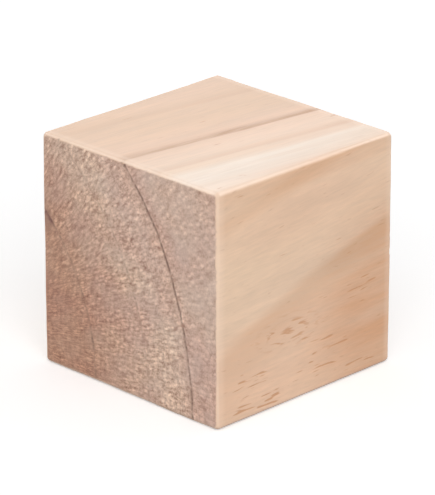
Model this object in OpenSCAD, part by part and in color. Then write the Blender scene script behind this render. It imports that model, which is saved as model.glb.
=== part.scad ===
// Wooden cube: one solid block of bare pine, sawn off a length of planed square stock and sanded until
// its edges and corners are softly eased.
// Frame: +Z is up and the origin is the middle of the base. The grain runs along X, so the two faces
// across X are sawn end grain, and the other four are planed along the grain.

/* [Planed stock] */
// Width of the planed stock, across the grain
stock_width = 50; // [10:0.5:150]
// Height of the planed stock, across the grain
stock_height = 50; // [10:0.5:150]

/* [Cross cut] */
// Length of the block between its two saw cuts, along the grain
cut_length = 50; // [10:0.5:150]

/* [Sanding] */
// Radius to which the edges and corners are eased
eased_radius = 1; // [0.2:0.1:4]

/* [Hidden] */
// Facets round a full circle, in views and meshes
$fn = 64;

// Colour of bare, unfinished pine
bare_pine = "#E3C4A4";

// Distance of each arris's centre line from the middle of the block
arris_x = cut_length / 2 - eased_radius;
arris_y = stock_width / 2 - eased_radius;
arris_z = stock_height / 2 - eased_radius;

// The six flat faces: three crossed slabs, each at full size in one direction only
module flat_faces() {
    cube([cut_length, 2 * arris_y, 2 * arris_z], center = true);
    cube([2 * arris_x, stock_width, 2 * arris_z], center = true);
    cube([2 * arris_x, 2 * arris_y, stock_height], center = true);
}

// One arris: a rod of the eased radius, as long as the straight part of the edge, along Z
module arris(straight_length) {
    cylinder(r = eased_radius, h = straight_length, center = true);
}

// The twelve arrises, four in each direction
module arrises() {
    // Along the grain
    for (y = [-arris_y, arris_y], z = [-arris_z, arris_z])
        translate([0, y, z])
            rotate([0, 90, 0])
                arris(2 * arris_x);
    // Across the ends, level
    for (x = [-arris_x, arris_x], z = [-arris_z, arris_z])
        translate([x, 0, z])
            rotate([90, 0, 0])
                arris(2 * arris_y);
    // Across the ends, upright
    for (x = [-arris_x, arris_x], y = [-arris_y, arris_y])
        translate([x, y, 0])
            arris(2 * arris_z);
}

// The eight corners: balls that carry on the curve of the three arrises that meet there
module corners() {
    for (x = [-arris_x, arris_x], y = [-arris_y, arris_y], z = [-arris_z, arris_z])
        translate([x, y, z])
            sphere(r = eased_radius);
}

// The whole block, standing on its base
module wooden_cube() {
    color(bare_pine)
        translate([0, 0, stock_height / 2])
            union() {
                flat_faces();
                arrises();
                corners();
            }
}

wooden_cube();
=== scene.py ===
# A wooden cube of bare pine: a block sawn off a length of planed square stock, then sanded until its
# edges and corners are softly eased. All lengths are metres, except where a name ends in MM or a
# comment says mm.
import math

import bpy
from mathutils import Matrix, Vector


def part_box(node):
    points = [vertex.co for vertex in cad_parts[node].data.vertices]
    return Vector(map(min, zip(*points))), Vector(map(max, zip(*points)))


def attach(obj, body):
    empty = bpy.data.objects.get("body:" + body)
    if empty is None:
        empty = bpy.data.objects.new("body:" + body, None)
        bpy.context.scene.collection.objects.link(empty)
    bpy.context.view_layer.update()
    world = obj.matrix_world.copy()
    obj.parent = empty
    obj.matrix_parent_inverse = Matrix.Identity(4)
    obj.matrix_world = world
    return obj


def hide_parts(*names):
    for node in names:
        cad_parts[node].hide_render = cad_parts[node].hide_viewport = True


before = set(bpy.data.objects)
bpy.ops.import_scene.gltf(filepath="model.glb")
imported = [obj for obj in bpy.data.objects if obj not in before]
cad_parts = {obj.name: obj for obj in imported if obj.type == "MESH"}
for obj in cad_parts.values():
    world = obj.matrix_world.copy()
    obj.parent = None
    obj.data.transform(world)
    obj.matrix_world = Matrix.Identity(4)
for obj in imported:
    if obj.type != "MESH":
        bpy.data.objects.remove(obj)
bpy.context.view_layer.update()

# The block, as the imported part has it
NODE = "wooden_cube"
MM = 0.001
BLOCK_LOW, BLOCK_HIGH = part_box(NODE)
CUT_LENGTH, STOCK_WIDTH, STOCK_HEIGHT = BLOCK_HIGH - BLOCK_LOW
MIDDLE = (BLOCK_LOW + BLOCK_HIGH) / 2
# Where the faces lie that marks are placed on: the front end, the front and back sides, and the top
FRONT_END_X_MM = BLOCK_LOW.x / MM
FRONT_SIDE_Y_MM = BLOCK_LOW.y / MM
BACK_SIDE_Y_MM = BLOCK_HIGH.y / MM
TOP_Z_MM = BLOCK_HIGH.z / MM

# The sanding: the radius of the edges, the share of it by which it wavers, how deep the hand's own waver
# goes, and how deep a knock on an edge is
EASED_RADIUS = 1.0 * MM
EASING_WAVER = 0.22
SANDING_WAVER = 0.05 * MM
EDGE_DENT_DEPTH = 0.12 * MM
# How quickly these change: the easing in waves on half a side, the hand and the knocks in waves on a mm.
# A knock shows where its noise is over the first value of its span, and is whole over the second.
EASING_PACE = 1.7
HAND_PACE = 0.06
KNOCK_PACE = 0.42
KNOCK_SPAN = (0.62, 0.74)
# Along the middle of an edge, the larger part of the way that it faces is just under this
EDGE_MIDDLE_FACING = 0.7072

# How far the wood's own texture is cut into its faces
RING_RELIEF = 0.04 * MM
SAW_ROUGHNESS = 0.06 * MM
FLECK_DEPTH = 0.08 * MM
RAISED_GRAIN = 0.015 * MM
# The share by which a place faces along the grain is 0 on the long faces and 1 on the ends. The sawn
# texture sets in over the first of these spans of it, and the planed texture stops over the second.
SAWN_FACING = (0.9, 1.0)
PLANED_FACING = (0.0, 0.4)
# Below its own span the rings' relief has only this share of its depth, and above it all of it
RING_FACING = (0.6, 0.95)
LONG_FACE_RING_SHARE = 0.3

# How finely the block's mesh is divided, with the loops that an edge's roundness takes from them
LOOPS_ALONG = 70
LOOPS_ACROSS = 160
LOOPS_IN_EDGE = 12

# The trunk that the block was cut from. The grain runs along X. The pith lies outside the block, behind
# it and level with its base. The trunk grows thicker towards +X, so each ring opens that way.
PITH_MM = (0.0, 55.4, 0.0)
TRUNK_TAPER = 0.098
# A way round the pith is measured this far out from it, a little outside the block's middle
MEAN_RADIUS_MM = 70.0
# How the rings wander: the waves on a mm along the fibres and in the two ways across, and the sway in mm
RING_WANDERS = (
    ((0.006, 0.028, 0.028), 3.0),
    ((0.03, 0.45, 0.45), 0.5),
)

# Each year's ring, from the pith outwards: its outer radius at the front end, the width of its latewood
# and the width over which that stops, all in mm, then how warm the latewood is, how dark the ring's line
# is on the planed faces, and how dark it is on the sawn ends
RINGS_MM = (
    (28.4, 3.0, 0.4, 0.50, 0.30, 0.55),
    (45.4, 2.8, 0.4, 0.50, 0.45, 0.66),
    (61.0, 2.5, 0.5, 0.15, 0.12, 0.50),
    (73.6, 2.8, 0.4, 0.45, 1.00, 0.93),
    (81.2, 2.2, 0.6, 0.32, 0.18, 0.05),
    (91.2, 2.0, 1.2, 0.55, 0.05, 0.00),
)
# How wide a ring's line is on the planed faces and on the sawn ends
PLANED_LINE_MM = 2.1
SAWN_LINE_MM = 1.1
# The latewood, and the rings' lines on the planed faces, are fainter near the front end than near the back
RING_STRENGTH_FRONT = 0.45
RING_STRENGTH_BACK = 1.15

# The wood's patterns, each with its size in mm along the fibres, out from the pith and round it, and
# the number of finer layers on it. Drawn out along the fibres, one pattern is a streak on a planed face
# and a speck on a sawn end.
PATTERNS_MM = {
    "fine_fibres": ((40.0, 0.42, 0.42), 3.0),
    "fibre_bands": ((110.0, 2.6, 2.6), 2.0),
    "resin_canals": ((3.2, 0.34, 0.34), 0.0),
    "torn_patches": ((22.0, 9.0, 9.0), 1.0),
    "flecks": ((4.4, 0.8, 0.45), 0.0),
    "sawdust": ((0.5, 0.36, 0.36), 3.0),
    "ragged_tufts": ((2.4, 2.6, 0.75), 2.0),
    "line_breaks": ((30.0, 30.0, 2.6), 2.0),
    "clouds": ((60.0, 7.0, 7.0), 2.0),
    "wide_clouds": ((90.0, 16.0, 16.0), 1.0),
}
# A pattern lies mostly between these values, its middle part between the nearer two, and a coloured one
# is balanced about this grey
PATTERN_SPAN = (0.3, 0.7)
MIDDLE_SPAN = (0.35, 0.65)
PATTERN_MIDDLE = (0.5, 0.5, 0.5)
# Which parts of a place lie along the grain, and which across it
ALONG_GRAIN = (1.0, 0.0, 0.0)
ACROSS_GRAIN = (0.0, 1.0, 1.0)

# How the wood changes on its way out from the pith, each change over a stretch in mm. Planed wood is
# paler outside the darkest ring, and its tint changes once more. Sawn wood is greyer and smoother outside
# that ring, and it is redder and darker towards the pith, partly as heartwood and partly as painted shade.
PLANED_PALER_MM = (71.0, 77.0)
PLANED_OUTERMOST_MM = (81.0, 85.0)
SAWN_GREYER_MM = (72.0, 77.0)
SAWN_SMOOTHER_MM = (70.0, 77.0)
SAWN_REDDER_AND_SHADE_MM = (66.0, 42.0)

# The saw tore the fibre ends up in tufts, measured as the patterns are. Real ones are as fine as 0.1 mm,
# and only their clusters show at this distance.
TUFT_SIZE_MM = (2.4, 1.15, 0.75)
TUFT_FRAY_MM = 0.8
# A tuft is level out to the first of these shares of its size and gone at the second. The lowest tuft
# has this height beside the highest.
TUFT_FALL = (0.2, 0.75)
LOWEST_TUFT = 0.3
# How far the tufts lie out of line, where 1 is the most
TUFT_DISORDER = 0.95
# How much each pattern adds to the height of the sawn skin
TUFT_SHARE = 0.46
RAGGED_SHARE = 0.46
DUST_SHARE = 0.38
SAW_ARC_SHARE = 0.05
# How lively the skin is, from its quietest places to its liveliest, and beside that in the outer rings
LIVELINESS = (0.7, 1.25)
OUTER_LIVELINESS = 0.6
# The cross-cut saw's arcs on the ends: their centre, the way from one to the next, and how far the wood
# turned them aside, as an angle of their wave
SAW_CENTRE_MM = (0.0, -58.0, 9.0)
SAW_MARK_MM = 1.4
SAW_DRIFT = 14.0

# What is at a place has its whole strength out to this share of its reach
WHOLE_SHARE_OF_REACH = 0.35
# Where the planer met rising grain, low on the front side, each place with its reach
TORN_PLACES_MM = (
    ((6.5, FRONT_SIDE_Y_MM, 9.3), (9.0, 4.0, 3.4)),
    ((1.0, FRONT_SIDE_Y_MM, 5.3), (9.0, 4.0, 3.2)),
    ((-15.0, FRONT_SIDE_Y_MM, 7.0), (9.0, 4.0, 4.2)),
    ((-12.0, FRONT_SIDE_Y_MM, 2.6), (12.0, 4.0, 2.4)),
    ((16.0, FRONT_SIDE_Y_MM, 3.1), (8.0, 4.0, 2.6)),
    ((16.5, FRONT_SIDE_Y_MM, 19.0), (9.0, 4.0, 4.0)),
)
# Elsewhere the wood is torn by this share at most, in patches over these values of their pattern
SLIGHTLY_TORN = 0.4
SLIGHTLY_TORN_SPAN = (0.62, 0.72)
# Torn wood adds this to the flecks' own pattern. A fleck shows where the sum is over the first value of
# its span, and is deepest over the second.
TORN_LIFT = 0.22
FLECK_SPAN = (0.81, 0.93)
# The small eye that a bud left in the front side: its place and reach, how many lines lie round it
# within that reach, and how far the flecks turn them aside
EYE_PLACE_MM = (-5.2, FRONT_SIDE_Y_MM, 15.6)
EYE_REACH_MM = (11.0, 4.0, 4.8)
EYE_LINES = 2.8
EYE_BEND = 0.45
# A line of the eye shows where its wave is over the first value of its span, and is whole over the second.
# The flecks' pattern breaks it: over a span of that pattern, this little of it to this much is left.
EYE_LINE_SPAN = (0.2, 0.9)
EYE_BREAK_SPAN = (0.40, 0.55)
EYE_LEFT = (0.1, 0.9)

# Warmer wood on the front side, each place with its reach and strength: towards the back end and low down,
# where it is partly painted shade, and along the edge of the top
WARM_WOOD_AND_SHADE_PLACES_MM = (
    ((28.0, FRONT_SIDE_Y_MM, 13.0), (34.0, 7.0, 33.0), 0.74),
    ((-2.0, FRONT_SIDE_Y_MM, 48.0), (60.0, 3.0, 2.9), 0.28),
)
# Paler sapwood along the front of the top, kept to the top alone, so that it is partly a painted sheen: its
# place and reach, how far out from the pith it starts, the way over which it sets in, and its strength
PALE_SHEEN_PLACE_MM = (-5.0, -14.0, TOP_Z_MM)
PALE_SHEEN_REACH_MM = (80.0, 14.0, 0.9)
PALE_OUTSIDE_MM = 82.9
PALE_SETS_IN_MM = 1.8
PALE_SHEEN_STRENGTH = 0.5
# A resin stain where an inner ring meets the edge of the front end
RESIN_PLACE_MM = (FRONT_END_X_MM, BACK_SIDE_Y_MM, 31.5)
RESIN_REACH_MM = (8.0, 4.5, 4.5)

# How far the fibres, the fine bands and the clouds each swing the tone of planed wood
FIBRE_SWING = 0.045
BAND_SWING = 0.04
CLOUD_SWING = 0.03
# How strongly a fleck stains the planed wood, and latewood darkens the sawn wood
FLECK_STAIN = 0.7
SAWN_LATEWOOD_STAIN = 0.35
# What varies on the planed faces, from the least to the most: the strands of latewood and warm wood, the
# fibres that split a ring's line, and that line's stretches, which change over this span of their pattern
STRANDS = (0.55, 1.25)
LINE_SPLIT = (0.6, 1.6)
LINE_STRETCHES = (0.75, 1.25)
STRETCH_SPAN = (0.4, 0.6)
# Rosy wood, and the dashes of the resin canals: the span of its pattern over which each sets in, and its
# strength
ROSY_SPAN = (0.4, 0.62)
ROSY_STRENGTH = 0.5
DASH_SPAN = (0.77, 0.86)
DASH_STRENGTH = 0.28
# The tints of the sawn ends: how strong the greyer, the warmer and the mauve wood are, and the span of its
# pattern over which the mauve sets in
GREY_STRENGTH = 0.8
WARM_STRENGTH = 0.5
MAUVE_STRENGTH = 0.8
MAUVE_SPAN = (0.42, 0.6)
# A ring's line on the sawn ends thins by these shares, and tufts and sawdust add this much to it. What that
# comes to has to lie over the first value of a span to show, and over the second to have its strength.
LINE_THINNING = (0.6, 1.12)
LINE_TUFTS = 0.5
LINE_DUST = 0.35
LINE_SPAN = (0.8, 1.35)
LINE_STRENGTH = 0.86
RESIN_SPAN = (0.08, 0.95)
RESIN_STRENGTH = 0.75
# Relief that is finer than the mesh: how far fibres and sawdust rise and fall, and how deep a fleck is
FIBRE_RELIEF_MM = 0.008
DUST_RELIEF_MM = 0.022
FLECK_RELIEF_MM = 0.03

# How far the sanding of the ends' edges reaches onto the long grain beside them, and how pale it left
# the wood there and on the edges themselves. On the edges that paleness is partly a painted highlight.
RUBBED_WIDTH_MM = 2.6
RUBBED_PALENESS = 0.26
EDGE_PALENESS_AND_HIGHLIGHT = 0.38
# That paleness sets in over a span of the way onto an edge, varies from the least to the most, and has this
# share of its strength where the edge still looks sawn
EDGE_PALE_SPAN = (0.05, 0.7)
EDGE_PALE_VARIES = (0.55, 1.25)
SAWN_EDGE_PALE_SHARE = 0.2
# On the way round an end's edge the sawn look stops raggedly: the turn away from the end counts by the
# most to the least of the first values, and the look is gone and whole at those of the second
TURN_COUNTS = (1.2, 0.25)
SAWN_LOOK_SPAN = (0.13, 0.02)
# The base and the edges round it are darkened as a painted contact shadow: by this much up to the first
# height, and not at all above the second
BASE_SHADE_DARKNESS = 0.6
BASE_SHADE_FULL_TO_MM = 0.15
BASE_SHADE_GONE_AT_MM = 1.0

# How the bare wood takes light: smoother on the planed faces than on the sawn ends, with a little sheen
PLANED_GLOSS_ROUGHNESS = 0.46
SAWN_GLOSS_ROUGHNESS = 0.85
WOOD_IOR = 1.54
WOOD_SHEEN = 0.2
WOOD_SHEEN_ROUGHNESS = 0.5

# The cube is seen as in the photograph: from a corner, a little above it. Nothing nearer than the last
# value is drawn.
VIEW_AZIMUTH = -45.0
VIEW_ELEVATION = 21.7
VIEW_DISTANCE = 0.78
VIEW_LENS_MM = 280.0
NEAREST_SEEN = 0.01

# The white table, and the white that is added to it where it is seen: from one distance off the block's
# middle to another, it rises from the first strength to the second
TABLE_HALF_WIDTH = 0.9
VEIL_DISTANCES = (0.08, 0.45)
VEIL_STRENGTHS = (0.34, 0.60)
# The light of the room beside the pure white that is seen of it
ROOM_LIGHT = 0.58
# The lamp and three white cards: where each is round the block, in degrees, how far off and how wide, in
# metres, its power in watts, and whether it lights matt surfaces too or shows in the gloss alone
LAMPS = (
    ("front_lamp", -38.0, 38.0, 0.9, 0.6, 2.9, True),
    ("back_card", 135.0, 42.0, 0.9, 1.2, 7.9, False),
    ("left_card", -150.0, 41.0, 0.9, 0.6, 7.0, False),
    ("right_card", 60.0, 41.0, 0.9, 0.6, 7.0, False),
)


def linear(code):
    """An sRGB hex colour as linear red, green, blue and alpha."""
    parts = [int(code[i : i + 2], 16) / 255 for i in (1, 3, 5)]
    return [c / 12.92 if c <= 0.04045 else ((c + 0.055) / 1.055) ** 2.4 for c in parts] + [1.0]


def add(tree, kind, *inputs, named=None, **settings):
    """Adds a node to a tree and returns it. Inputs fill its sockets in order, or by name: each is a
    value, another node's output, or a node, which stands for its first output. The four numbers of a
    Map Range are the two values that it reads between, and the two that it gives for them."""
    node = tree.nodes.new(kind)
    for name, value in settings.items():
        setattr(node, name, value)
    sockets = [s for s in node.inputs if s.enabled]
    pairs = list(zip(sockets, inputs))
    for name, value in (named or {}).items():
        pairs.append((next(s for s in sockets if s.name == name), value))
    for socket, value in pairs:
        if isinstance(value, bpy.types.Node):
            value = next(s for s in value.outputs if s.enabled)
        if isinstance(value, bpy.types.NodeSocket):
            tree.links.new(value, socket)
        elif value is not None:
            socket.default_value = value
    return node


def place_in_trunk(tree, place):
    """Turns a place in the block, in mm, into one in the trunk: how far it is along the fibres, out from
    the pith and round it, all in mm. It is the same in the block's geometry and in its material."""
    # The rings wander a little, slowly along the grain and faster across it
    moved = place
    for pace, sway in RING_WANDERS:
        at = add(tree, "ShaderNodeVectorMath", place, pace, operation="MULTIPLY")
        noise = add(tree, "ShaderNodeTexNoise", named={"Vector": at, "Scale": 1.0, "Detail": 1.0})
        drift = add(
            tree, "ShaderNodeVectorMath", noise.outputs["Color"], PATTERN_MIDDLE, operation="SUBTRACT"
        )
        drift = add(tree, "ShaderNodeVectorMath", drift, (0.0, sway, sway), operation="MULTIPLY")
        moved = add(tree, "ShaderNodeVectorMath", moved, drift, operation="ADD")
    # Out from the pith and round it
    from_pith = add(tree, "ShaderNodeVectorMath", moved, PITH_MM, operation="SUBTRACT")
    across = add(tree, "ShaderNodeVectorMath", from_pith, ACROSS_GRAIN, operation="MULTIPLY")
    radius = add(tree, "ShaderNodeVectorMath", across, operation="LENGTH")
    part = add(tree, "ShaderNodeSeparateXYZ", from_pith)
    along = add(tree, "ShaderNodeMath", part.outputs["X"], FRONT_END_X_MM, operation="SUBTRACT")
    opening = add(tree, "ShaderNodeMath", along, TRUNK_TAPER, operation="MULTIPLY")
    out = add(tree, "ShaderNodeMath", radius, opening, operation="SUBTRACT")
    towards = add(tree, "ShaderNodeMath", part.outputs["Y"], -1.0, operation="MULTIPLY")
    angle = add(tree, "ShaderNodeMath", part.outputs["Z"], towards, operation="ARCTAN2")
    around = add(tree, "ShaderNodeMath", angle, MEAN_RADIUS_MM, operation="MULTIPLY")
    return add(tree, "ShaderNodeCombineXYZ", along, out, around)


def growth_rings(tree, trunk):
    """The latewood of the growth rings, the rings' lines on a planed face, and their lines on a sawn end,
    each from 0 to about 1. Latewood sets in slowly through the summer and stops at once in autumn, so a
    ring is sharp on its outer side only."""
    part = add(tree, "ShaderNodeSeparateXYZ", trunk)
    out = part.outputs["Y"]
    totals = [0.0, 0.0, 0.0]
    for radius, latewood_width, stop_width, *weights in RINGS_MM:
        stops = add(tree, "ShaderNodeMapRange", out, radius, radius + stop_width, 1.0, 0.0)
        widths = (latewood_width, PLANED_LINE_MM, SAWN_LINE_MM)
        for i, (width, weight) in enumerate(zip(widths, weights)):
            sets_in = add(
                tree, "ShaderNodeMapRange", out, radius - width, radius, 0.0, 1.0,
                interpolation_type="SMOOTHSTEP",
            )
            band = add(tree, "ShaderNodeMath", sets_in, stops, operation="MULTIPLY")
            totals[i] = add(tree, "ShaderNodeMath", band, weight, totals[i], operation="MULTIPLY_ADD")
    length_mm = CUT_LENGTH / MM
    strength = add(
        tree, "ShaderNodeMapRange", part.outputs["X"],
        0.0, length_mm, RING_STRENGTH_FRONT, RING_STRENGTH_BACK,
    )
    latewood = add(tree, "ShaderNodeMath", totals[0], strength, operation="MULTIPLY")
    planed_line = add(tree, "ShaderNodeMath", totals[1], strength, operation="MULTIPLY")
    return latewood, planed_line, totals[2]


def wood_patterns(tree, trunk, *names):
    """The wood's named patterns, each from 0 to 1 and mostly near a half."""
    patterns = []
    for name in names:
        size, layers = PATTERNS_MM[name]
        at = add(tree, "ShaderNodeVectorMath", trunk, size, operation="DIVIDE")
        noise = add(tree, "ShaderNodeTexNoise", named={"Vector": at, "Scale": 1.0, "Detail": layers})
        patterns.append(noise.outputs["Fac"])
    return patterns


def share_of_reach(tree, place, centre, reach):
    """How far off a centre a place in the block is, as a share of the centre's reach."""
    off = add(tree, "ShaderNodeVectorMath", place, centre, operation="SUBTRACT")
    off = add(tree, "ShaderNodeVectorMath", off, reach, operation="DIVIDE")
    return add(tree, "ShaderNodeVectorMath", off, operation="LENGTH")


def near(tree, place, centre, reach):
    """Is 1 round a centre in the block, out to a share of its reach, and falls to 0 at its reach."""
    off = share_of_reach(tree, place, centre, reach)
    return add(
        tree, "ShaderNodeMapRange", off, 1.0, WHOLE_SHARE_OF_REACH, 0.0, 1.0,
        interpolation_type="SMOOTHSTEP",
    )


def sawn_skin(tree, place, trunk):
    """The rough skin of a sawn end, from 0 in a pit to 1 on a tuft of torn fibres. The tufts have frayed
    outlines. The wood is smoother outside its darkest ring, and the saw left faint arcs."""
    ragged, dust, clouds = wood_patterns(tree, trunk, "ragged_tufts", "sawdust", "clouds")
    # The tufts, each with a height of its own
    at = add(tree, "ShaderNodeVectorMath", trunk, PATTERNS_MM["sawdust"][0], operation="DIVIDE")
    noise = add(tree, "ShaderNodeTexNoise", named={"Vector": at, "Scale": 1.0, "Detail": 2.0})
    fray = add(tree, "ShaderNodeVectorMath", noise.outputs["Color"], PATTERN_MIDDLE, operation="SUBTRACT")
    fray = add(tree, "ShaderNodeVectorMath", fray, named={"Scale": TUFT_FRAY_MM}, operation="SCALE")
    at = add(tree, "ShaderNodeVectorMath", trunk, fray, operation="ADD")
    at = add(tree, "ShaderNodeVectorMath", at, TUFT_SIZE_MM, operation="DIVIDE")
    tufts = add(
        tree, "ShaderNodeTexVoronoi", named={"Vector": at, "Scale": 1.0, "Randomness": TUFT_DISORDER}
    )
    dome = add(tree, "ShaderNodeMapRange", tufts.outputs["Distance"], *TUFT_FALL, 1.0, 0.0)
    own = add(tree, "ShaderNodeSeparateXYZ", tufts.outputs["Color"])
    own_height = add(tree, "ShaderNodeMapRange", own.outputs["X"], 0.0, 1.0, LOWEST_TUFT, 1.0)
    tuft = add(tree, "ShaderNodeMath", dome, own_height, operation="MULTIPLY")

    # The saw's arcs
    off = add(tree, "ShaderNodeVectorMath", place, SAW_CENTRE_MM, operation="SUBTRACT")
    off = add(tree, "ShaderNodeVectorMath", off, ACROSS_GRAIN, operation="MULTIPLY")
    reach = add(tree, "ShaderNodeVectorMath", off, operation="LENGTH")
    turns = add(tree, "ShaderNodeMath", reach, 2 * math.pi / SAW_MARK_MM, operation="MULTIPLY")
    jitter = add(tree, "ShaderNodeMath", clouds, SAW_DRIFT, turns, operation="MULTIPLY_ADD")
    arcs = add(tree, "ShaderNodeMath", jitter, operation="SINE")

    ragged = add(tree, "ShaderNodeMapRange", ragged, *PATTERN_SPAN, 0.0, 1.0)
    dust = add(tree, "ShaderNodeMapRange", dust, *PATTERN_SPAN, 0.0, 1.0)
    skin = 0.0
    for height, share in (
        (tuft, TUFT_SHARE), (ragged, RAGGED_SHARE), (dust, DUST_SHARE), (arcs, SAW_ARC_SHARE)
    ):
        skin = add(tree, "ShaderNodeMath", height, share, skin, operation="MULTIPLY_ADD")
    # Livelier in some places than in others
    out = add(tree, "ShaderNodeSeparateXYZ", trunk).outputs["Y"]
    quiet = add(tree, "ShaderNodeMapRange", out, *SAWN_SMOOTHER_MM, 1.0, OUTER_LIVELINESS)
    lively = add(tree, "ShaderNodeMapRange", clouds, *MIDDLE_SPAN, *LIVELINESS)
    lively = add(tree, "ShaderNodeMath", lively, quiet, operation="MULTIPLY")
    away = add(tree, "ShaderNodeMath", skin, 0.5, operation="SUBTRACT")
    return add(tree, "ShaderNodeMath", away, lively, 0.5, operation="MULTIPLY_ADD", use_clamp=True)


def planer_marks(tree, place, trunk):
    """The marks on the long grain, from 0 to 1 where they are deepest: the short flecks that the planer
    tore out of it, and the line of the small eye."""
    flecks, patches = wood_patterns(tree, trunk, "flecks", "torn_patches")
    torn = add(tree, "ShaderNodeMapRange", patches, *SLIGHTLY_TORN_SPAN, 0.0, SLIGHTLY_TORN)
    for centre, reach in TORN_PLACES_MM:
        torn = add(tree, "ShaderNodeMath", torn, near(tree, place, centre, reach), operation="MAXIMUM")
    # There are many where it tore, and hardly any elsewhere
    fleck = add(tree, "ShaderNodeMath", torn, TORN_LIFT, flecks, operation="MULTIPLY_ADD")
    fleck = add(
        tree, "ShaderNodeMapRange", fleck, *FLECK_SPAN, 0.0, 1.0, interpolation_type="SMOOTHSTEP"
    )

    # Fibres part round the eye and leave a dark core in a broken, lens-shaped line
    inside = near(tree, place, EYE_PLACE_MM, EYE_REACH_MM)
    off = share_of_reach(tree, place, EYE_PLACE_MM, EYE_REACH_MM)
    lines = add(tree, "ShaderNodeMath", flecks, EYE_BEND, off, operation="MULTIPLY_ADD")
    lines = add(tree, "ShaderNodeMath", lines, 2 * math.pi * EYE_LINES, operation="MULTIPLY")
    lines = add(tree, "ShaderNodeMath", lines, operation="COSINE")
    lines = add(tree, "ShaderNodeMapRange", lines, *EYE_LINE_SPAN, 0.0, 1.0)
    broken = add(tree, "ShaderNodeMapRange", flecks, *EYE_BREAK_SPAN, *EYE_LEFT)
    eye = add(tree, "ShaderNodeMath", lines, inside, operation="MULTIPLY")
    eye = add(tree, "ShaderNodeMath", eye, broken, operation="MULTIPLY")
    return add(tree, "ShaderNodeMath", fleck, eye, operation="MAXIMUM")


def block_tree():
    """The block's geometry: a closed box whose edges and corners are rounded, with an easing that wavers
    as handwork does, and faces into which the wood's own texture is cut."""
    tree = bpy.data.node_groups.new("sanded_block", "GeometryNodeTree")
    tree.interface.new_socket("Block", in_out="OUTPUT", socket_type="NodeSocketGeometry")
    for name, kind in (
        ("Cut length", "Float"), ("Stock width", "Float"), ("Stock height", "Float"),
        ("Eased radius", "Float"), ("Easing waver", "Float"), ("Sanding waver", "Float"),
        ("Edge dent depth", "Float"), ("Ring relief", "Float"), ("Saw roughness", "Float"),
        ("Fleck depth", "Float"), ("Raised grain", "Float"),
        ("Loops along", "Int"), ("Loops across", "Int"), ("Loops in an edge", "Int"),
        ("Wood", "Material"),
    ):
        tree.interface.new_socket(name, in_out="INPUT", socket_type="NodeSocket" + kind)
    given = tree.nodes.new("NodeGroupInput").outputs

    # A box from -1 to 1, finely divided across the grain, where the relief is finest
    along = add(tree, "ShaderNodeMath", given["Loops along"], 1.0, operation="ADD")
    across = add(tree, "ShaderNodeMath", given["Loops across"], 1.0, operation="ADD")
    box = add(
        tree, "GeometryNodeMeshCube", (2.0, 2.0, 2.0),
        named={"Vertices X": along, "Vertices Y": across, "Vertices Z": across},
    )
    unit = add(tree, "GeometryNodeInputPosition")

    # The eased radius wavers slowly along the edges
    noise = add(tree, "ShaderNodeTexNoise", named={"Vector": unit, "Scale": EASING_PACE, "Detail": 2.0})
    sway = add(tree, "ShaderNodeMapRange", noise.outputs["Fac"], *PATTERN_SPAN, -1.0, 1.0)
    sway = add(tree, "ShaderNodeMath", sway, given["Easing waver"], 1.0, operation="MULTIPLY_ADD")
    radius = add(tree, "ShaderNodeMath", sway, given["Eased radius"], operation="MULTIPLY")

    # The last loops on each side share the turn from the face to the middle of the edge
    loops = add(
        tree, "ShaderNodeCombineXYZ", given["Loops along"], given["Loops across"], given["Loops across"]
    )
    share = add(tree, "ShaderNodeVectorMath", given["Loops in an edge"], loops, operation="DIVIDE")
    flat_share = add(tree, "ShaderNodeVectorMath", (1.0, 1.0, 1.0), share, operation="SUBTRACT")
    size = add(
        tree, "ShaderNodeCombineXYZ", given["Cut length"], given["Stock width"], given["Stock height"]
    )
    half = add(tree, "ShaderNodeVectorMath", size, named={"Scale": 0.5}, operation="SCALE")
    core = add(tree, "ShaderNodeVectorMath", half, radius, operation="SUBTRACT")
    side = add(tree, "ShaderNodeVectorMath", unit, operation="SIGN")
    reach = add(tree, "ShaderNodeVectorMath", unit, operation="ABSOLUTE")
    flat = add(tree, "ShaderNodeVectorMath", reach, flat_share, operation="DIVIDE")
    flat = add(tree, "ShaderNodeVectorMath", flat, (1.0, 1.0, 1.0), operation="MINIMUM")
    turn = add(tree, "ShaderNodeVectorMath", reach, flat_share, operation="SUBTRACT")
    turn = add(tree, "ShaderNodeVectorMath", turn, share, operation="DIVIDE")
    turn = add(tree, "ShaderNodeVectorMath", turn, (0.0, 0.0, 0.0), operation="MAXIMUM")
    turn = add(tree, "ShaderNodeVectorMath", turn, named={"Scale": math.pi / 4}, operation="SCALE")
    slope = add(tree, "ShaderNodeVectorMath", turn, operation="TANGENT")
    facing = add(tree, "ShaderNodeVectorMath", slope, operation="NORMALIZE")
    inner = add(tree, "ShaderNodeVectorMath", core, flat, operation="MULTIPLY")
    outer = add(tree, "ShaderNodeVectorMath", facing, named={"Scale": radius}, operation="SCALE")
    eased = add(tree, "ShaderNodeVectorMath", inner, outer, operation="ADD")
    eased = add(tree, "ShaderNodeVectorMath", eased, side, operation="MULTIPLY")
    lift = add(tree, "ShaderNodeVectorMath", half, (0.0, 0.0, 1.0), operation="MULTIPLY")
    eased = add(tree, "ShaderNodeVectorMath", eased, lift, operation="ADD")

    # What the material needs to know: how far a place faces along the grain, and how far it is on an edge
    faces = add(tree, "ShaderNodeSeparateXYZ", facing).outputs
    largest = add(tree, "ShaderNodeMath", faces["X"], faces["Y"], operation="MAXIMUM")
    largest = add(tree, "ShaderNodeMath", largest, faces["Z"], operation="MAXIMUM")
    on_edge = add(tree, "ShaderNodeMapRange", largest, 1.0, EDGE_MIDDLE_FACING, 0.0, 1.0)
    named_ends = add(
        tree, "GeometryNodeStoreNamedAttribute",
        named={"Geometry": box, "Name": "end_grain", "Value": faces["X"]},
    )
    named_edges = add(
        tree, "GeometryNodeStoreNamedAttribute",
        named={"Geometry": named_ends, "Name": "eased_edge", "Value": on_edge},
    )
    shaped = add(tree, "GeometryNodeSetPosition", named={"Geometry": named_edges, "Position": eased})

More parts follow.
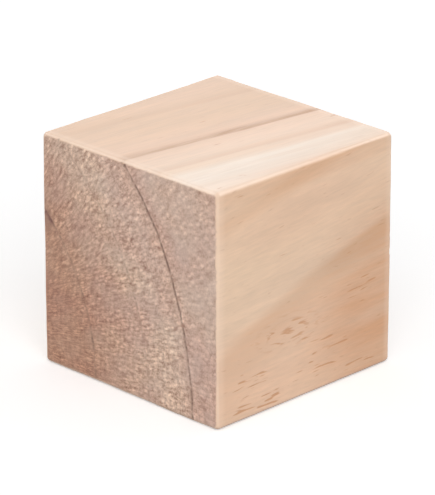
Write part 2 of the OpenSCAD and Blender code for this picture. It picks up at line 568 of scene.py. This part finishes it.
    # Everything below is cut inwards, so the block stays inside its part
    here = add(tree, "GeometryNodeInputPosition")
    place = add(tree, "ShaderNodeVectorMath", here, named={"Scale": 1 / MM}, operation="SCALE")
    trunk = place_in_trunk(tree, place)
    latewood, planed_line, sawn_line = growth_rings(tree, trunk)
    ends = add(tree, "GeometryNodeInputNamedAttribute", "end_grain").outputs["Attribute"]
    edges = add(tree, "GeometryNodeInputNamedAttribute", "eased_edge").outputs["Attribute"]
    sawn = add(tree, "ShaderNodeMapRange", ends, *SAWN_FACING, 0.0, 1.0)
    planed = add(tree, "ShaderNodeMapRange", ends, *PLANED_FACING, 1.0, 0.0)
    # Sanding takes the soft earlywood down further than the latewood, most of all on the end grain
    softness = add(tree, "ShaderNodeMath", 1.0, latewood, operation="SUBTRACT")
    exposed = add(tree, "ShaderNodeMapRange", ends, *RING_FACING, LONG_FACE_RING_SHARE, 1.0)
    # The hand wavers as it sands, and the edges have taken a few knocks
    hand = add(tree, "ShaderNodeTexNoise", named={"Vector": place, "Scale": HAND_PACE, "Detail": 2.0})
    noise = add(tree, "ShaderNodeTexNoise", named={"Vector": place, "Scale": KNOCK_PACE, "Detail": 2.0})
    knocks = add(
        tree, "ShaderNodeMapRange", noise.outputs["Fac"], *KNOCK_SPAN, 0.0, 1.0,
        interpolation_type="SMOOTHSTEP",
    )
    pits = add(tree, "ShaderNodeMath", 1.0, sawn_skin(tree, place, trunk), operation="SUBTRACT")
    marks = planer_marks(tree, place, trunk)
    grain = wood_patterns(tree, trunk, "fine_fibres")[0]
    depth = 0.0
    for cut, where, most in (
        (softness, exposed, "Ring relief"),
        (hand.outputs["Fac"], 1.0, "Sanding waver"),
        (knocks, edges, "Edge dent depth"),
        (pits, sawn, "Saw roughness"),
        (marks, planed, "Fleck depth"),
        (grain, planed, "Raised grain"),
    ):
        cut_here = add(tree, "ShaderNodeMath", cut, where, operation="MULTIPLY")
        depth = add(tree, "ShaderNodeMath", cut_here, given[most], depth, operation="MULTIPLY_ADD")
    inward = add(tree, "ShaderNodeMath", depth, -1.0, operation="MULTIPLY")
    normal = add(tree, "GeometryNodeInputNormal")
    sunk = add(tree, "ShaderNodeVectorMath", normal, named={"Scale": inward}, operation="SCALE")
    sanded = add(tree, "GeometryNodeSetPosition", named={"Geometry": shaped, "Offset": sunk})

    smooth = add(tree, "GeometryNodeSetShadeSmooth", named={"Geometry": sanded, "Shade Smooth": True})
    real = add(tree, "GeometryNodeRealizeInstances", smooth)
    dressed = add(tree, "GeometryNodeSetMaterial", named={"Geometry": real, "Material": given["Wood"]})
    result = tree.nodes.new("NodeGroupOutput")
    tree.links.new(dressed.outputs["Geometry"], result.inputs["Block"])
    return tree


def sanded_block(wood):
    """Runs the block's geometry and keeps the result as a plain mesh."""
    tree = block_tree()
    holder = bpy.data.objects.new("block_source", bpy.data.meshes.new("block_source"))
    bpy.context.scene.collection.objects.link(holder)
    modifier = holder.modifiers.new("sanded_block", "NODES")
    modifier.node_group = tree
    sizes = {
        "Cut length": CUT_LENGTH, "Stock width": STOCK_WIDTH, "Stock height": STOCK_HEIGHT,
        "Eased radius": EASED_RADIUS, "Easing waver": EASING_WAVER, "Sanding waver": SANDING_WAVER,
        "Edge dent depth": EDGE_DENT_DEPTH, "Ring relief": RING_RELIEF, "Saw roughness": SAW_ROUGHNESS,
        "Fleck depth": FLECK_DEPTH, "Raised grain": RAISED_GRAIN,
        "Loops along": LOOPS_ALONG, "Loops across": LOOPS_ACROSS, "Loops in an edge": LOOPS_IN_EDGE,
        "Wood": wood,
    }
    for socket in tree.interface.items_tree:
        if socket.name in sizes:
            modifier[socket.identifier] = sizes[socket.name]
    evaluated = holder.evaluated_get(bpy.context.evaluated_depsgraph_get())
    mesh = bpy.data.meshes.new_from_object(evaluated)
    bpy.data.objects.remove(holder)
    mesh.name = "pine_block"
    block = bpy.data.objects.new("pine_block", mesh)
    bpy.context.scene.collection.objects.link(block)
    return block


def planed_pine(tree, place, trunk, latewood, planed_line):
    """The colour of the long grain, and its fine relief in mm. Earlywood is a pale peach and paler in the
    outer rings, latewood is a warm tan, and each ring ends in a brown line."""
    out = add(tree, "ShaderNodeSeparateXYZ", trunk).outputs["Y"]
    fibres, bands, canals, clouds, wide, patches = wood_patterns(
        tree, trunk, "fine_fibres", "fibre_bands", "resin_canals", "clouds", "wide_clouds", "torn_patches"
    )
    strands = add(tree, "ShaderNodeMapRange", bands, *PATTERN_SPAN, *STRANDS)

    # Where each tint lies over the earlywood, in the order in which they are laid on
    paler = add(tree, "ShaderNodeMapRange", out, *PLANED_PALER_MM, 0.0, 1.0)
    outermost = add(tree, "ShaderNodeMapRange", out, *PLANED_OUTERMOST_MM, 0.0, 1.0)
    rosy = add(tree, "ShaderNodeMapRange", wide, *ROSY_SPAN, 0.0, ROSY_STRENGTH)
    tints = [(paler, "#E9C8AB"), (outermost, "#EBCAAB"), (rosy, "#E8BD9E")]
    # Partly painted shade: the warm place towards the back end and low down also stands in for shade and
    # warm bounced light there
    for centre, reach, strength in WARM_WOOD_AND_SHADE_PLACES_MM:
        warm = add(tree, "ShaderNodeMath", near(tree, place, centre, reach), strands, operation="MULTIPLY")
        warm = add(tree, "ShaderNodeMath", warm, strength, operation="MULTIPLY")
        tints.append((warm, "#D29C72"))
    late = add(tree, "ShaderNodeMath", latewood, strands, operation="MULTIPLY", use_clamp=True)
    # A ring's line is split into strands, and is stronger in some stretches than in others
    split = add(tree, "ShaderNodeMapRange", fibres, *MIDDLE_SPAN, *LINE_SPLIT)
    stretch = add(tree, "ShaderNodeMapRange", patches, *STRETCH_SPAN, *LINE_STRETCHES)
    line = add(tree, "ShaderNodeMath", planed_line, split, operation="MULTIPLY")
    line = add(tree, "ShaderNodeMath", line, stretch, operation="MULTIPLY", use_clamp=True)
    dashes = add(tree, "ShaderNodeMapRange", canals, *DASH_SPAN, 0.0, DASH_STRENGTH)
    # Partly painted sheen: paler sapwood, kept to the front of the top, where it also stands in for the
    # sheen of the light on the top
    sapwood = add(
        tree, "ShaderNodeMapRange", out,
        PALE_OUTSIDE_MM, PALE_OUTSIDE_MM + PALE_SETS_IN_MM, 0.0, PALE_SHEEN_STRENGTH,
    )
    sheen_place = near(tree, place, PALE_SHEEN_PLACE_MM, PALE_SHEEN_REACH_MM)
    pale_and_sheen = add(tree, "ShaderNodeMath", sapwood, sheen_place, operation="MULTIPLY")
    pale_and_sheen = add(tree, "ShaderNodeMath", pale_and_sheen, strands, operation="MULTIPLY")
    tints += [(late, "#D8A274"), (line, "#B37B46"), (dashes, "#B0713F"), (pale_and_sheen, "#F6EADE")]
    colour = linear("#DAB08A")
    for where, tint in tints:
        colour = add(
            tree, "ShaderNodeMix", where, named={"A": colour, "B": linear(tint)}, data_type="RGBA"
        )

    # The fibres vary the tone, and the flecks are stained
    tone = 1.0
    for pattern, swing in ((fibres, FIBRE_SWING), (bands, BAND_SWING), (clouds, CLOUD_SWING)):
        part = add(tree, "ShaderNodeMapRange", pattern, *PATTERN_SPAN, 1 - swing, 1 + swing)
        tone = add(tree, "ShaderNodeMath", part, tone, operation="MULTIPLY")
    colour = add(tree, "ShaderNodeVectorMath", colour, tone, operation="MULTIPLY")
    marks = planer_marks(tree, place, trunk)
    stain = add(tree, "ShaderNodeMath", marks, FLECK_STAIN, operation="MULTIPLY")
    colour = add(
        tree, "ShaderNodeMix", stain, named={"A": colour, "B": linear("#C48450")}, data_type="RGBA"
    )
    height = add(tree, "ShaderNodeMapRange", fibres, *PATTERN_SPAN, -FIBRE_RELIEF_MM, FIBRE_RELIEF_MM)
    height = add(tree, "ShaderNodeMath", marks, -FLECK_RELIEF_MM, height, operation="MULTIPLY_ADD")
    return colour, height


def sawn_pine(tree, place, trunk, latewood, sawn_line):
    """The colour of the end grain, and its fine relief in mm. The tufts are a light peach and the pits
    between them brown, partly as painted shade. It is redder and darker towards the pith, partly as
    heartwood and partly as painted shade, and greyer in the outer rings."""
    out = add(tree, "ShaderNodeSeparateXYZ", trunk).outputs["Y"]
    skin = sawn_skin(tree, place, trunk)
    dust, ragged, breaks, clouds, wide = wood_patterns(
        tree, trunk, "sawdust", "ragged_tufts", "line_breaks", "clouds", "wide_clouds"
    )
    # Partly painted shade: the brown of the pits stands in for the shade in them, and the peach of the
    # tufts is their own colour
    colour = add(
        tree, "ShaderNodeMix", skin,
        named={"A": linear("#966C57"), "B": linear("#FFE7D2")}, data_type="RGBA",
    )
    # Partly painted shade: the redder, darker tint towards the pith is heartwood and also stands in for
    # shade on the low back corner of each end
    inner = add(tree, "ShaderNodeMapRange", out, *SAWN_REDDER_AND_SHADE_MM, 0.0, 1.0)
    outer = add(tree, "ShaderNodeMapRange", out, *SAWN_GREYER_MM, 0.0, GREY_STRENGTH)
    warm = add(tree, "ShaderNodeMapRange", clouds, *MIDDLE_SPAN, 0.0, WARM_STRENGTH)
    mauve = add(tree, "ShaderNodeMapRange", wide, *MAUVE_SPAN, 0.0, MAUVE_STRENGTH)
    for where, tint in ((inner, "#DEC4B5"), (outer, "#FCFBFF"), (warm, "#FFEFE2"), (mauve, "#F6EDEF")):
        colour = add(
            tree, "ShaderNodeMix", where,
            named={"A": colour, "B": linear(tint)}, data_type="RGBA", blend_type="MULTIPLY",
        )
    late = add(tree, "ShaderNodeMath", latewood, SAWN_LATEWOOD_STAIN, operation="MULTIPLY")
    # A strong ring is one line that thins here and there, and a weak one is a row of dots
    ragged_part = add(tree, "ShaderNodeMapRange", ragged, *PATTERN_SPAN, 0.0, LINE_TUFTS)
    dusty_part = add(tree, "ShaderNodeMapRange", dust, *PATTERN_SPAN, 0.0, LINE_DUST)
    thinner = add(tree, "ShaderNodeMapRange", breaks, *PATTERN_SPAN, *LINE_THINNING)
    dotted = add(tree, "ShaderNodeMath", ragged_part, dusty_part, operation="ADD")
    dotted = add(tree, "ShaderNodeMath", sawn_line, thinner, dotted, operation="MULTIPLY_ADD")
    line = add(tree, "ShaderNodeMapRange", dotted, *LINE_SPAN, 0.0, LINE_STRENGTH)
    resin = near(tree, place, RESIN_PLACE_MM, RESIN_REACH_MM)
    resin = add(tree, "ShaderNodeMath", resin, dotted, operation="MULTIPLY")
    resin = add(tree, "ShaderNodeMapRange", resin, *RESIN_SPAN, 0.0, RESIN_STRENGTH)
    for where, tint in ((late, "#B08C76"), (line, "#72503E"), (resin, "#6F3D36")):
        colour = add(
            tree, "ShaderNodeMix", where, named={"A": colour, "B": linear(tint)}, data_type="RGBA"
        )
    height = add(tree, "ShaderNodeMapRange", dust, *PATTERN_SPAN, -DUST_RELIEF_MM, DUST_RELIEF_MM)
    return colour, height


def bare_pine():
    """Pine with no finish on it. Its sides were planed and sanded along the grain, which leaves them matt,
    smooth and warm, with fine streaks. Its ends were sawn across the fibres, which leaves them rough and
    darker, because the open fibre ends take in light."""
    material = bpy.data.materials.new("bare_pine")
    material.use_nodes = True
    tree = material.node_tree
    tree.nodes.clear()
    here = add(tree, "ShaderNodeTexCoord").outputs["Object"]
    place = add(tree, "ShaderNodeVectorMath", here, named={"Scale": 1 / MM}, operation="SCALE")
    trunk = place_in_trunk(tree, place)
    latewood, planed_line, sawn_line = growth_rings(tree, trunk)
    ends = add(tree, "ShaderNodeAttribute", attribute_name="end_grain").outputs["Fac"]
    edges = add(tree, "ShaderNodeAttribute", attribute_name="eased_edge").outputs["Fac"]
    side, side_height = planed_pine(tree, place, trunk, latewood, planed_line)
    end, end_height = sawn_pine(tree, place, trunk, latewood, sawn_line)

    # The sanding reached a little way onto the long grain beside the ends, and left it paler
    ragged, clouds = wood_patterns(tree, trunk, "ragged_tufts", "clouds")
    off_middle = add(tree, "ShaderNodeVectorMath", place, ALONG_GRAIN, operation="MULTIPLY")
    off_middle = add(tree, "ShaderNodeVectorMath", off_middle, operation="LENGTH")
    half_mm = CUT_LENGTH / 2 / MM
    rubbed = add(
        tree, "ShaderNodeMapRange", off_middle,
        half_mm - RUBBED_WIDTH_MM, half_mm - EASED_RADIUS / MM, 0.0, RUBBED_PALENESS,
        interpolation_type="SMOOTHSTEP",
    )
    pale_wood_and_highlight = linear("#F8DCC5")
    side = add(tree, "ShaderNodeMix", rubbed, named={"A": side, "B": pale_wood_and_highlight}, data_type="RGBA")
    # Sanding the edges closed the fibre ends there, so the sawn look stops raggedly on the way round
    closing = add(tree, "ShaderNodeMapRange", ragged, *PATTERN_SPAN, *TURN_COUNTS)
    closed = add(tree, "ShaderNodeMath", 1.0, ends, operation="SUBTRACT")
    closed = add(tree, "ShaderNodeMath", closed, closing, operation="MULTIPLY")
    on_end = add(
        tree, "ShaderNodeMapRange", closed, *SAWN_LOOK_SPAN, 0.0, 1.0, interpolation_type="SMOOTHSTEP"
    )
    colour = add(tree, "ShaderNodeMix", on_end, named={"A": side, "B": end}, data_type="RGBA")
    # The edges are paler where they were sanded most, partly as a painted highlight, and dark where the
    # block stands on them, as a painted contact shadow
    # Partly painted highlight: the rounded edges are made paler, which also stands in for the light that
    # they catch
    edge_pale_and_highlight = add(tree, "ShaderNodeMapRange", edges, *EDGE_PALE_SPAN, 0.0, EDGE_PALENESS_AND_HIGHLIGHT)
    most = add(tree, "ShaderNodeMapRange", clouds, *MIDDLE_SPAN, *EDGE_PALE_VARIES)
    edge_pale_and_highlight = add(tree, "ShaderNodeMath", edge_pale_and_highlight, most, operation="MULTIPLY")
    off_end = add(tree, "ShaderNodeMapRange", on_end, 0.0, 1.0, 1.0, SAWN_EDGE_PALE_SHARE)
    edge_pale_and_highlight = add(tree, "ShaderNodeMath", edge_pale_and_highlight, off_end, operation="MULTIPLY")
    colour = add(tree, "ShaderNodeMix", edge_pale_and_highlight, named={"A": colour, "B": pale_wood_and_highlight}, data_type="RGBA")
    # Painted shade: the dark brown round the base stands in for the contact shadow under the block
    above = add(tree, "ShaderNodeSeparateXYZ", place).outputs["Z"]
    painted_base_shade = add(
        tree, "ShaderNodeMapRange", above, BASE_SHADE_FULL_TO_MM, BASE_SHADE_GONE_AT_MM, BASE_SHADE_DARKNESS, 0.0,
        interpolation_type="SMOOTHSTEP",
    )
    colour = add(
        tree, "ShaderNodeMix", painted_base_shade, named={"A": colour, "B": linear("#80604C")}, data_type="RGBA"
    )
    # Relief that is finer than the mesh, in mm
    height = add(
        tree, "ShaderNodeMix", on_end, named={"A": side_height, "B": end_height}, data_type="FLOAT"
    )
    bump = add(tree, "ShaderNodeBump", named={"Strength": 1.0, "Distance": MM, "Height": height})
    roughness = add(
        tree, "ShaderNodeMapRange", on_end, 0.0, 1.0, PLANED_GLOSS_ROUGHNESS, SAWN_GLOSS_ROUGHNESS
    )
    surface = add(
        tree, "ShaderNodeBsdfPrincipled",
        named={
            "Base Color": colour, "Roughness": roughness, "IOR": WOOD_IOR, "Normal": bump,
            "Sheen Weight": WOOD_SHEEN, "Sheen Roughness": WOOD_SHEEN_ROUGHNESS,
        },
    )
    output = tree.nodes.new("ShaderNodeOutputMaterial")
    tree.links.new(surface.outputs["BSDF"], output.inputs["Surface"])
    return material


def seen_straight(tree):
    """Is 1 for light that reaches the camera straight, or off gloss or through glass, and otherwise 0."""
    path = add(tree, "ShaderNodeLightPath").outputs
    seen = add(tree, "ShaderNodeMath", path["Is Camera Ray"], path["Is Glossy Ray"], operation="MAXIMUM")
    return add(tree, "ShaderNodeMath", seen, path["Is Transmission Ray"], operation="MAXIMUM")


def white_floor():
    """A white table. What sees it straight gets some added white, more of it further off, so that the
    table fades into the background and still shows the block's shadow."""
    material = bpy.data.materials.new("white_table")
    material.use_nodes = True
    tree = material.node_tree
    tree.nodes.clear()
    matt = add(tree, "ShaderNodeBsdfDiffuse", named={"Color": linear("#F4F4F4")})
    here = add(tree, "ShaderNodeTexCoord").outputs["Object"]
    away = add(tree, "ShaderNodeVectorMath", here, operation="LENGTH")
    added = add(tree, "ShaderNodeMapRange", away, *VEIL_DISTANCES, *VEIL_STRENGTHS)
    veil = add(tree, "ShaderNodeMath", seen_straight(tree), added, operation="MULTIPLY")
    glow = add(tree, "ShaderNodeEmission", named={"Color": linear("#FFFFFF"), "Strength": veil})
    both = add(tree, "ShaderNodeAddShader", matt, glow)
    output = tree.nodes.new("ShaderNodeOutputMaterial")
    tree.links.new(both.outputs["Shader"], output.inputs["Surface"])

    half = TABLE_HALF_WIDTH
    corners = [(-half, -half, 0), (half, -half, 0), (half, half, 0), (-half, half, 0)]
    mesh = bpy.data.meshes.new("table")
    mesh.from_pydata(corners, [], [(0, 1, 2, 3)])
    mesh.materials.append(material)
    floor = bpy.data.objects.new("table", mesh)
    bpy.context.scene.collection.objects.link(floor)


def studio():
    """A soft white room with one large lamp in front. Three white cards, behind the block and to its left
    and right, show only in its gloss. The one behind lays a pale veil over the top."""
    world = bpy.data.worlds.new("studio")
    bpy.context.scene.world = world
    world.use_nodes = True
    tree = world.node_tree
    tree.nodes.clear()
    strength = add(tree, "ShaderNodeMapRange", seen_straight(tree), 0.0, 1.0, ROOM_LIGHT, 1.0)
    air = add(tree, "ShaderNodeBackground", named={"Color": linear("#FFFFFF"), "Strength": strength})
    output = tree.nodes.new("ShaderNodeOutputWorld")
    tree.links.new(air.outputs["Background"], output.inputs["Surface"])

    for name, azimuth, elevation, distance, size, watts, lights_all in LAMPS:
        data = bpy.data.lights.new(name, "AREA")
        data.size = size
        data.energy = watts
        lamp = bpy.data.objects.new(name, data)
        lamp.visible_diffuse = lights_all
        bpy.context.scene.collection.objects.link(lamp)
        aim(lamp, azimuth, elevation, distance)


def aim(thing, azimuth, elevation, distance):
    """Puts a lamp or the camera at an azimuth and elevation round the block, facing its middle."""
    a, e = math.radians(azimuth), math.radians(elevation)
    back = Vector((math.sin(a) * math.cos(e), -math.cos(a) * math.cos(e), math.sin(e)))
    thing.location = MIDDLE + back * distance
    thing.rotation_euler = (-back).to_track_quat("-Z", "Y").to_euler()


def camera():
    """The photograph's view of the cube, drawn closer."""
    data = bpy.data.cameras.new("camera")
    data.lens = VIEW_LENS_MM
    data.clip_start = NEAREST_SEEN
    seen_from = bpy.data.objects.new("camera", data)
    bpy.context.scene.collection.objects.link(seen_from)
    aim(seen_from, VIEW_AZIMUTH, VIEW_ELEVATION, VIEW_DISTANCE)
    bpy.context.scene.camera = seen_from


bpy.context.scene.view_settings.view_transform = "Standard"
camera()
studio()
white_floor()

block = sanded_block(bare_pine())
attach(block, "root")
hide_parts(NODE)
